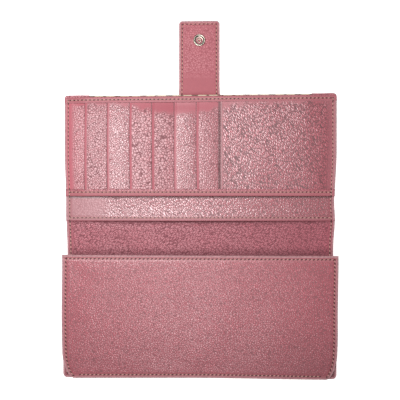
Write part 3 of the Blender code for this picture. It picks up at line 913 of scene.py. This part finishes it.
for slot_number, slot_mouth in enumerate(MOUTHS, start=1):
    card_slot(slot_number, slot_mouth)


def side_fall(x):
    """The plain panel comes down to the backing along the cover's right edge."""
    return 1.15 * smooth((x - 72.0) / 20.0)


def side_level(x, y, d):
    inside = x - SIDE_MOUTH
    edge = panel_side(y) - x
    crease = mouth_crease(inside, 0.1, 0.16)
    swell = 0.16 * waves(x, y, 30.0, 31) + 0.3 * smooth(inside / 25.0) - 0.8 * top_hollow(x, y)
    return (SIDE_TOP + 0.15 * smooth(1 - inside / 8.0) + crease - side_fall(x)
            + swell * smooth((edge - 3.5) / 9.0) - sewn(edge)
            - rolled(np.minimum(inside, edge), 0.4))


def side_under(x, y, d):
    return np.where(panel_side(y) - x < GLUED, BACKING_TOP - 0.1,
                    SIDE_TOP - 0.52 - side_fall(x) - 0.8 * top_hollow(x, y))


def side_calm(x, y, d):
    inside, edge = x - SIDE_MOUTH, panel_side(y) - x
    return smooth((2.2 - inside) / 0.9) + 0.75 * smooth((8.0 - edge) / 4.0) + top_calm(x, y)


def side_painted_shade(x, y, d):
    """Painted shade: a little darker where the panel turns down towards its seam, away from the
    light.
    """
    edge = panel_side(y) - x
    return 0.14 * smooth((9.0 - edge) / 4.0) * smooth((edge - 3.0) / 1.5)


fit(slab("side_panel_leather", (PANEL_EDGE + 0.4, SHEET_END - 0.4),
         (lambda y: SIDE_MOUTH + 0 * y, panel_side), side_level, side_under, SIDE_GRAIN, EDGE,
         step=0.9, rim_width=PAINTED, calm=side_calm, painted_shade=side_painted_shade, joined=PANEL_EDGE + 0.4),
    "rose_leather", "side_panel", on="upper_cover")


def stack_level(x):
    """Smoothed top of the pockets, which the hem and the binding lie on."""
    level = BACKING_TOP + (SIDE_TOP + 0.05 - BACKING_TOP) * smooth((x + 94.0) / 14.5)
    return level - side_fall(x)


def hem(name, low, high, fold, seam, node, seed):
    """A strip over the ends of the pockets, folded down along one long edge to close them.

    fold is -1 where the folded edge is the lower one and 1 where it is the upper one.
    """
    def distances(x, y):
        """Distance inside the sides, the folded edge and the plain edge."""
        side = panel_side(y) - np.abs(x)
        return (side, y - low, high - y) if fold < 0 else (side, high - y, y - low)

    def over(x, y, d):
        side, folded, plain = distances(x, y)
        groove = 0.2 * ridge(y, seam, 0.55) + sewn(side)
        swell = 0.05 * waves(x, y, 12.0, seed) + 0.16 * ridge(folded, 1.3, 0.7)
        return (stack_level(x) + 0.5 + swell - groove - rolled(folded, 0.7)
                - rolled(plain, 0.3) - rolled(side, 0.45))

    def under(x, y, d):
        side, folded, _ = distances(x, y)
        return np.where((folded < 0.7) | (side < 0.5), SLIP_TOP + 0.12, stack_level(x) + 0.04)

    def pressed(x, y, d):
        return 1.0 - smooth((y - seam - 0.6) / 0.8) if fold < 0 else 0.8 + 0 * x

    fit(slab(name, (low, high), panel_side, over, under, TRIM, EDGE if fold > 0 else None,
             step=1.0, calm=pressed), "rose_trim", node, on="upper_cover")


HEM_TOP = HEM_HIGH + 0.2
HEM_SEAM = HEM_LOW + 2.9
BINDING_SEAM = COVER_END - 3.2
hem("card_hem", HEM_LOW, HEM_TOP, -1, HEM_SEAM, "card_panel_hem", 71)
hem("top_binding_strip", BINDING_LOW, COVER_END - 0.95, 1, BINDING_SEAM, "top_binding", 72)


def turned_edge(name, low_x, high_x, reach, height, finish, slot):
    """Outside material turned up over the end of the cover, with a rounded lip.

    Its section goes up the outside along half an ellipse and comes back down a little inside.
    """
    turn = np.linspace(-0.5 * math.pi, 0.5 * math.pi, 11)
    y = COVER_END - 0.35 + reach * np.cos(turn) ** 0.7
    z = height * 0.5 * (1.0 + np.sin(turn))
    inner_y = COVER_END - np.array([1.0, 1.3, 1.3, 0.5])
    inner_z = np.array([height + 0.02, height - 0.1, height - 0.5, 0.2])
    profile = np.stack([np.concatenate([y, inner_y]), np.concatenate([z, inner_z])], axis=-1)
    xs = spaced(low_x, high_x, 2.0, (0.0, 0.3, 0.7, 1.3, 2.0))
    wobble = 0.1 * waves(xs, 0 * xs, 22.0, 5)
    radius = END_RADIUS["upper"]
    past = np.clip((np.abs(xs) - HALF_FULL + radius) / radius, 0.0, 1.0)
    drop = radius * (1.0 - np.sqrt(1.0 - past ** 2))
    along_y, up_z = profile[None, :, 0], profile[None, :, 1]
    rings = np.zeros((len(xs), len(profile), 3))
    rings[:, :, 0] = xs[:, None]
    rings[:, :, 1] = along_y - drop[:, None] + wobble[:, None] * (along_y > COVER_END)
    rings[:, :, 2] = up_z - (up_z > 1.0) * side_fall(xs)[:, None] * 0.6
    fit(loft(name, rings, finish), slot, on="upper_cover")


turned_edge("canvas_turned_edge", 0.4 - BAND_INNER, BAND_INNER - 0.4, 0.35, 5.1, CANVAS,
            "coated_canvas")
for hand_name, low_end, high_end in (("left", 0.4 - HALF_FULL, -BAND_INNER),
                                     ("right", BAND_INNER, HALF_FULL - 0.4)):
    turned_edge(f"band_turned_edge_{hand_name}", low_end, high_end, 0.95, 4.6, TRIM,
                "rose_leather")


# ---------------------------------------------------------------- compartment on the lower cover

POUCH_TILT = math.atan2(box("pouch_front_lining")[1][2] - box("pouch_front_lining")[0][2],
                        POUCH_HIGH[1] - POUCH_LOW[1])
POUCH_ENDS = (-2.2, 84.9)                  # along the front from its hinge
POUCH_CORNER = (8.0, 18.0)
POUCH_RISE = 1.3                           # how much steeper its dome is near the bottom seam
MOUTH_LEAN = 0.45                          # at either end of the mouth


def pouch_half(v):
    return POUCH_HALF - corner_cut(v, POUCH_ENDS[0], POUCH_CORNER[1], POUCH_CORNER[0])


def pouch_dome(x, v):
    """The front swells: steep above its bottom seam and level near the mouth."""
    length = POUCH_ENDS[1] - POUCH_ENDS[0]
    share = np.clip((v - POUCH_ENDS[0]) / length, 0.0, 1.0)
    arch = (1.0 - (1.0 - share) ** POUCH_RISE) - share
    return arch * length * math.tan(POUCH_TILT) * (1.0 - 0.35 * (x / POUCH_HALF) ** 4)


def to_world(points):
    """From the front's own plane to the frame: a turn by its tilt about its bottom hinge.

    Its mouth is first let down a little towards the right, and up towards the left.
    """
    x, v, n = points[:, 0], points[:, 1], points[:, 2]
    v = v - MOUTH_LEAN * (x / POUCH_HALF) * v / POUCH_ENDS[1]
    c, s = math.cos(POUCH_TILT), math.sin(POUCH_TILT)
    return np.stack([x, POUCH_HINGE[0] + v * c - n * s, POUCH_HINGE[1] + v * s + n * c], axis=-1)


def pouch_inside(x, v):
    """How far a point lies inside the front's sides and bottom."""
    return np.minimum(pouch_half(v) - np.abs(x), v - POUCH_ENDS[0])


def pouch_level(x, v, d):
    side, lip = pouch_inside(x, v), POUCH_ENDS[1] - v
    swell = swelling(0.2, 42.0, 81, x, v, np.minimum(side, lip), 4.0, 10.0)
    seam = 0.2 * ridge(side, 2.6, 0.8) + 0.2 * ridge(lip, 2.5, 0.8)
    bead = 0.1 * ridge(lip, 1.1, 0.6)
    return 0.95 + pouch_dome(x, v) + swell + bead - seam - rolled(np.minimum(side, lip), 0.8)


def pouch_calm(x, v, d):
    return smooth((4.4 - np.minimum(pouch_inside(x, v), POUCH_ENDS[1] - v)) / 1.6)


def pouch_painted_shade(x, v, d):
    """Painted shade: darker towards its bottom seam, most of all in the right corner, where the
    light falls off.
    """
    return smooth((46.0 - v) / 46.0) * (0.12 + 0.15 * smooth((x - 15.0) / 70.0))


fit(slab("compartment_front", POUCH_ENDS, pouch_half, pouch_level,
         lambda x, v, d: 0.05 + pouch_dome(x, v), POUCH_GRAIN, EDGE, step=0.9, move=to_world,
         rim_width=PAINTED, calm=pouch_calm, painted_shade=pouch_painted_shade),
    "rose_leather", "pouch_front_leather", on="pouch_front")
fit(slab("compartment_front_lining", (POUCH_ENDS[0] + 0.4, POUCH_ENDS[1] - 0.25),
         lambda v: pouch_half(v) - 0.4, lambda x, v, d: pouch_dome(x, v),
         lambda x, v, d: -0.5 + pouch_dome(x, v), LINING, EDGE, step=2.0, move=to_world),
    "rose_lining", "pouch_front_lining", on="pouch_front")


GUSSET_EDGE = 93.4
GUSSET_DEPTH = 8.6                         # of the fold at the mouth
GUSSET_THICK = 0.7


def gusset(sign):
    """Bellows at one side: a leather strip folded inwards, tapering to the bottom seam.

    Across it, share t runs from the lining at 0 to the front at 1, and the fold's depth is a
    sine of t.
    """
    hand = "right" if sign > 0 else "left"
    mouth_y = box(f"gusset_{hand}")[1][1]
    stations = np.linspace(1.0, 0.08, 26)
    t = np.linspace(0.0, 1.0, 15)
    bottom = LINING_TOP + 0.08
    v = (mouth_y - POUCH_HINGE[0] - 1.0) * stations / math.cos(POUCH_TILT) + 1.0
    under = to_world(np.stack([0 * v, v, pouch_dome(POUCH_HALF * 0.98, v) - 0.52], axis=-1))
    top = under[:, 2]
    depth = GUSSET_DEPTH * stations ** 0.8
    shares = np.concatenate([t, t[::-1]])
    fold = np.sin(math.pi * shares) ** 0.75
    thick = np.repeat([0.0, GUSSET_THICK], len(t))
    rings = np.zeros((len(stations), len(shares), 3))
    rings[:, :, 0] = sign * (GUSSET_EDGE - depth[:, None] * fold[None, :] + thick[None, :])
    rings[:, :, 1] = under[:, 1:2]
    rings[:, :, 2] = bottom + (top[:, None] - bottom) * shares[None, :]
    if sign > 0:
        rings, shares = rings[:, ::-1], shares[::-1]
    thing = loft(f"bellows_{hand}", rings, LINING)
    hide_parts(f"gusset_{hand}")
    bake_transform(thing)
    weight = np.concatenate([np.tile(shares, len(stations)), [0.5, 0.5]])


for each_side in (-1, 1):
    gusset(each_side)


# ---------------------------------------------------------------- closing tab

TAB_END = TAB_HIGH[1]
ANCHOR_LOW = box("tab_anchor")[0]
TAB_SEAM = 2.35
CREASE_Y = TAB_SPLIT + 4.0


def strap_half(y):
    """Half the strap's width, a little more towards its root."""
    return TAB_HALF + 0.25 * smooth((108.0 - y) / 10.0)


def tab_side(y):
    return strap_half(y) - corner_cut(y, TAB_END, 2.5)


def strap_inside(x, y):
    """How far a point lies inside the strap's sides and its free end."""
    return np.minimum(tab_side(y) - np.abs(x - TAB_MIDDLE), TAB_END - y)


def strap_level(x, y, d):
    side = strap_inside(x, y)
    laid = smooth((y - COVER_END - 0.2) / 1.6)
    level = -0.12 + (TAB_TOP + 0.12) * laid
    crown = 0.3 * (1.0 - ((x - TAB_MIDDLE) / TAB_HALF) ** 2) * laid
    folds = 0.12 * ridge(y, CREASE_Y, 0.8) - 0.14 * ridge(y, CREASE_Y - 1.6, 0.7)
    swell = swelling(0.08, 14.0, 91, x, y, side, 3.0, 3.0)
    return level + crown + folds + swell - (0.18 * ridge(side, TAB_SEAM, 0.45)
                                            + rolled(side, 0.75)) * laid


def strap_calm(x, y, d):
    """Smooth below the crease, where the tab bends, and along its seams."""
    side = tab_side(y) - np.abs(x - TAB_MIDDLE)
    return 0.8 * smooth((CREASE_Y + 6.0 - y) / 11.0) + smooth((3.6 - side) / 1.2)


def strap_under(x, y, d):
    side = np.minimum(strap_inside(x, y), y - ANCHOR_LOW[1])
    laid = smooth((y - COVER_END + 2.0) / 4.0)
    return -1.32 - 0.28 * laid + rolled(side, 0.4) + 0.16 * ridge(side, TAB_SEAM, 0.45)


def strap(name, ends, step):
    sides = (lambda y: TAB_MIDDLE - tab_side(y), lambda y: TAB_MIDDLE + tab_side(y))
    return slab(name, ends, sides, strap_level, strap_under, TAB_GRAIN, EDGE, step=step,
                rim_width=PAINTED, calm=strap_calm, joined=TAB_SPLIT)


fit(strap("tab_strap_root", (ANCHOR_LOW[1], TAB_SPLIT), 0.8), "rose_leather", "tab_anchor",
    across="root")
fit(strap("tab_strap_end", (TAB_SPLIT, TAB_END), 0.6), "rose_leather", "tab_wrap_outer",
    "tab_wrap_inner", "tab_end_outer", "tab_end_inner", "tab_stiffener", across="tab")


# ---------------------------------------------------------------- press fastener

SNAP = (TAB_MIDDLE, SNAP_Y)
STUD = (TAB_MIDDLE, STUD_Y)
FACE = TAB_TOP + 0.3
RIM_TOP = box("snap_socket")[1][2]
CAP_LOW = box("snap_cap")[0][2]
STUD_LOW = box("snap_stud")[0][2]

socket_profile = ([(2.3, FACE + 0.1), (4.15, FACE + 0.1)]
                  + arc((3.65, RIM_TOP - 0.5), 0.55, 0.0, 180.0, 12)
                  + [(3.1, RIM_TOP - 0.95), (2.75, FACE + 0.35), (2.3, FACE + 0.3)])
spring_profile = arc((2.85, FACE + 0.95), 0.24, 0.0, 330.0, 10)
cap_profile = ([(0.0, FACE - 0.15), (0.55, FACE - 0.1), (0.76, FACE + 0.12)]
               + arc((1.2, FACE + 0.16), 0.38, 150.0, -60.0, 9)
               + [(1.3, FACE - 0.3), (1.3, -1.75), (4.9, -1.75)]
               + arc((4.9, -1.95), 0.28, 60.0, -80.0, 5)
               + [(4.2, CAP_LOW + 0.22), (3.0, CAP_LOW + 0.06), (1.5, CAP_LOW), (0.0, CAP_LOW)])
stud_profile = ([(0.0, 1.4), (1.5, 1.4), (1.5, -0.1), (3.8, -0.12)]
                + arc((3.8, -0.3), 0.16, 60.0, -70.0, 4)
                + [(2.4, -0.6), (1.75, -0.75), (1.75, -1.0)]
                + arc((1.85, -1.32), 0.32, 60.0, -80.0, 7)
                + [(1.2, STUD_LOW), (0.0, STUD_LOW)])
fit(turned("snap_socket_ring", socket_profile, SNAP, NICKEL, closed=True), "nickel",
    "snap_socket", on="tab_end")
fit(turned("snap_spring", spring_profile, SNAP, STEEL, closed=True), "spring_steel",
    "snap_spring_ring", on="tab_end")
fit(turned("snap_cap_dome", cap_profile[::-1], SNAP, NICKEL), "nickel", "snap_cap", on="tab_end")
fit(turned("snap_stud_post", stud_profile[::-1], STUD, NICKEL), "nickel", "snap_stud",
    on="lower_cover")


# ---------------------------------------------------------------- seams

def sew(name, runs, on=None, across=None, **looks):
    fit(stitches(name, runs, **looks), "rose_trim", on=on, across=across)


def inside_level(x, y):
    """Height of the topmost leather on the upper cover and spine, for its stitches."""
    d = 0 * x
    side = side_level(np.maximum(x, SIDE_MOUTH + 3.0), y, d)
    level = np.where(y < SLIP_EDGE, LINING_TOP, slip_level(x, y, d))
    level = np.where(y > PANEL_EDGE, np.where(x > SIDE_MOUTH, side, backing_level(x, y, d)), level)
    return np.where(((y > HEM_LOW) & (y < HEM_TOP)) | (y > BINDING_LOW),
                    stack_level(x) + 0.55, level)


def side_run(sign, low, high):
    """A seam along one side of the covers, from low to high."""
    y = np.arange(low, high, 0.25)
    return sign * (half_width(y) - SEAM), y


def seam_on_upper(sign, low, high):
    x, y = side_run(sign, low, high)
    return np.stack([x, y, inside_level(x, y)], axis=-1)


def cross_run(y, level):
    x = np.arange(-SIDE_IN, SIDE_IN, 0.5)
    return np.stack([x, y + 0 * x, level(x, y + 0 * x)], axis=-1)


def trim_level(x, y):
    return stack_level(x) + 0.5


SIDE_IN = HALF_FULL - 4.2
upper_runs = [seam_on_upper(sign, low, high) for sign in (-1, 1)
              for low, high in ((SPINE_MIDDLE, SLIP_EDGE - 0.3), (SLIP_EDGE + 0.6, HEM_LOW - 0.2),
                                (HEM_LOW + 0.4, HEM_TOP - 0.2), (HEM_TOP + 0.4, BINDING_LOW - 0.3),
                                (BINDING_LOW + 0.4, BINDING_SEAM))]
upper_runs += [cross_run(HEM_SEAM, trim_level), cross_run(BINDING_SEAM, trim_level),
               cross_run(SLIP_EDGE + 2.3, lambda x, y: slip_level(x, y, 0 * x))]
sew("threads_upper_inside", upper_runs, across="upper")


def lower_edge_run():
    """Round the lower cover's far end: down one side, round two corners and up the other."""
    radius = 2.2
    end = -COVER_END + SEAM
    points = []
    for sign in (-1, 1):
        x, y = side_run(sign, end + radius, SPINE_MIDDLE)
        line = np.stack([x, y], axis=-1)
        centre = (sign * (half_width(end) - SEAM - radius), end + radius)
        angle = np.linspace(0.0, math.pi / 2, 12)
        curve = np.stack([centre[0] + sign * radius * np.cos(angle),
                          centre[1] - radius * np.sin(angle)], axis=-1)
        points.append(np.concatenate([line[::-1], curve]))
    return np.concatenate([points[0], points[1][::-1]])


edge_run = lower_edge_run()
inside_run = np.column_stack([edge_run, np.full(len(edge_run), LINING_TOP - 0.1)])
sew("threads_lower_inside", [inside_run], across="lower")


def outside_runs(half):
    """Seams on the outside of one half: along the cover's edge and along the band's inner edge."""
    low, high = HALVES[half]
    if half == "lower":
        runs = [np.column_stack([edge_run, np.full(len(edge_run), -0.3)])]
        low += SEAM + 1.0
    else:
        runs = []
        for sign in (-1, 1):
            x, y = side_run(sign, low, high - SEAM)
            runs.append(np.stack([x, y, -0.3 + 0 * x], axis=-1))
        x = np.arange(-SIDE_IN, SIDE_IN, 0.5)
        for part in (x[x < TAB_MIDDLE - TAB_HALF - 1], x[x > TAB_MIDDLE + TAB_HALF + 1]):
            z = np.where(np.abs(part) > BAND_INNER - 1.5, -0.3, 0.02)
            runs.append(np.stack([part, high - SEAM + 0 * part, z], axis=-1))
        high -= SEAM + 1.0
    y = np.arange(low, high, 0.5)
    for sign in (-1, 1):
        x = np.full(len(y), sign * (BAND_INNER + 0.6))
        runs.append(np.stack([x, y, -0.24 + 0 * x], axis=-1))
    return runs


for each_half in HALVES:
    sew(f"threads_{each_half}_outside", outside_runs(each_half), across=each_half, up=-1.0)


def pouch_runs():
    """Round the compartment's front: down both sides, along the bottom and along the mouth."""
    low, high = POUCH_ENDS
    v = np.arange(low + POUCH_CORNER[1] * 0.12, high - 2.4, 0.25)
    runs = [(sign * (pouch_half(v) - SEAM), v) for sign in (-1, 1)]
    for margin, place in ((11.5, low + SEAM), (3.0, high - 2.5)):
        x = np.arange(-(POUCH_HALF - margin), POUCH_HALF - margin, 0.5)
        runs.append((x, place + 0 * x))
    return [to_world(np.stack([x, v, pouch_level(x, v, 0 * x) + 0.03], axis=-1))
            for x, v in runs]


sew("threads_compartment", pouch_runs(), on="pouch_front", length=1.3, hole=1.3, hole_slant=38.0)


def tab_runs(low, high, level, close):
    """Stitches along both sides of a stretch of the tab.

    close is 1 or -1 where they also run across its end or its start.
    """
    y = np.arange(low, high, 0.2)
    sides = [(TAB_MIDDLE + sign * (strap_half(y) - TAB_SEAM), y) for sign in (-1, 1)]
    if close:
        x = np.arange(TAB_MIDDLE - TAB_HALF + TAB_SEAM + 0.4, TAB_MIDDLE + TAB_HALF - TAB_SEAM, 0.2)
        end = (TAB_END if close > 0 else ANCHOR_LOW[1]) - close * TAB_SEAM
        sides.append((x, np.full(len(x), end)))
    return [np.stack([x, y, level(x, y, 0 * x)], axis=-1) for x, y in sides]


for part, place in (("root", COVER_END + 1.2), ("end", TAB_SPLIT),
                    ("outside_root", ANCHOR_LOW[1] + TAB_SEAM), ("outside_end", TAB_SPLIT)):
    outside, at_root = part.startswith("outside"), part.endswith("root")
    level = strap_under if outside else strap_level
    close = (-1 if outside else 0) if at_root else 1
    sew(f"threads_tab_{part}",
        tab_runs(place, TAB_SPLIT if at_root else TAB_END - TAB_SEAM, level, close),
        across="root" if at_root else "tab", up=-1.0 if outside else 1.0)


# ---------------------------------------------------------------- CAD pieces that stay

for node, finish in (("lower_board", BOARD), ("upper_board", BOARD), ("snap_stud_back", STEEL)):
    shown = frame["nodes"][node]
    shown.data.materials.clear()
    shown.data.materials.append(finish)


# ---------------------------------------------------------------- floor, lights and camera

WORLD = 0.07
FLOOR_GLOW = 0.9


def plain_stage():
    """A white sheet that glows a little, far wider than any view of the wallet."""
    low, size = CAD_BOUNDS[0][2], 30.0
    mesh = bpy.data.meshes.new("floor")
    corners = [(-size, -size, low), (size, -size, low), (size, size, low), (-size, size, low)]
    mesh.from_pydata(corners, [], [(0, 1, 2, 3)])
    paper, n, shader = start_material("white_paper")
    n.feed(shader, {"Base Color": (0.92, 0.92, 0.92, 1.0), "Roughness": 0.9,
                    "Emission Color": (1.0, 1.0, 1.0, 1.0), "Emission Strength": FLOOR_GLOW})
    mesh.materials.append(paper)
    floor = bpy.data.objects.new("floor", mesh)
    bpy.context.scene.collection.objects.link(floor)


def area_light(name, place, aim, size, power):
    data = bpy.data.lights.new(name, "AREA")
    data.shape = "DISK"
    data.size = size
    data.energy = power
    light = bpy.data.objects.new(name, data)
    light.location = place
    light.rotation_mode = "QUATERNION"
    light.rotation_quaternion = (Vector(aim) - Vector(place)).to_track_quat("-Z", "Y")
    bpy.context.scene.collection.objects.link(light)


def studio():
    """Two soft lamps, and a world that is white to the eye and lights only a little."""
    world = bpy.data.worlds.new("studio")
    bpy.context.scene.world = world
    world.use_nodes = True
    n = Nodes(world.node_tree)
    seen = n.add("LightPath").outputs["Is Camera Ray"]
    n.feed(world.node_tree.nodes["Background"],
           {"Color": (1.0, 1.0, 1.0, 1.0), "Strength": n.ramp(seen, 0.0, 1.0, WORLD, 1.0)})
    area_light("key", (-0.075, 0.1, 0.45), (-0.14, 0.14, 0.0), 0.23, 2.15)
    area_light("low", (-0.015, -0.23, 0.5), (-0.03, -0.1, 0.0), 0.2, 0.6)
    bpy.context.scene.view_settings.view_transform = "Standard"


def make_camera():
    """Straight above the open wallet. Its view is across wide on the table, in metres."""
    data = bpy.data.cameras.new("camera")
    height, across, sensor = 0.55, 0.2822, 36.0
    data.sensor_width = sensor
    data.lens = sensor * height / across
    camera = bpy.data.objects.new("camera", data)
    camera.location = (-0.0004, 0.0256, height)
    bpy.context.scene.collection.objects.link(camera)
    bpy.context.scene.camera = camera


plain_stage()
studio()
make_camera()
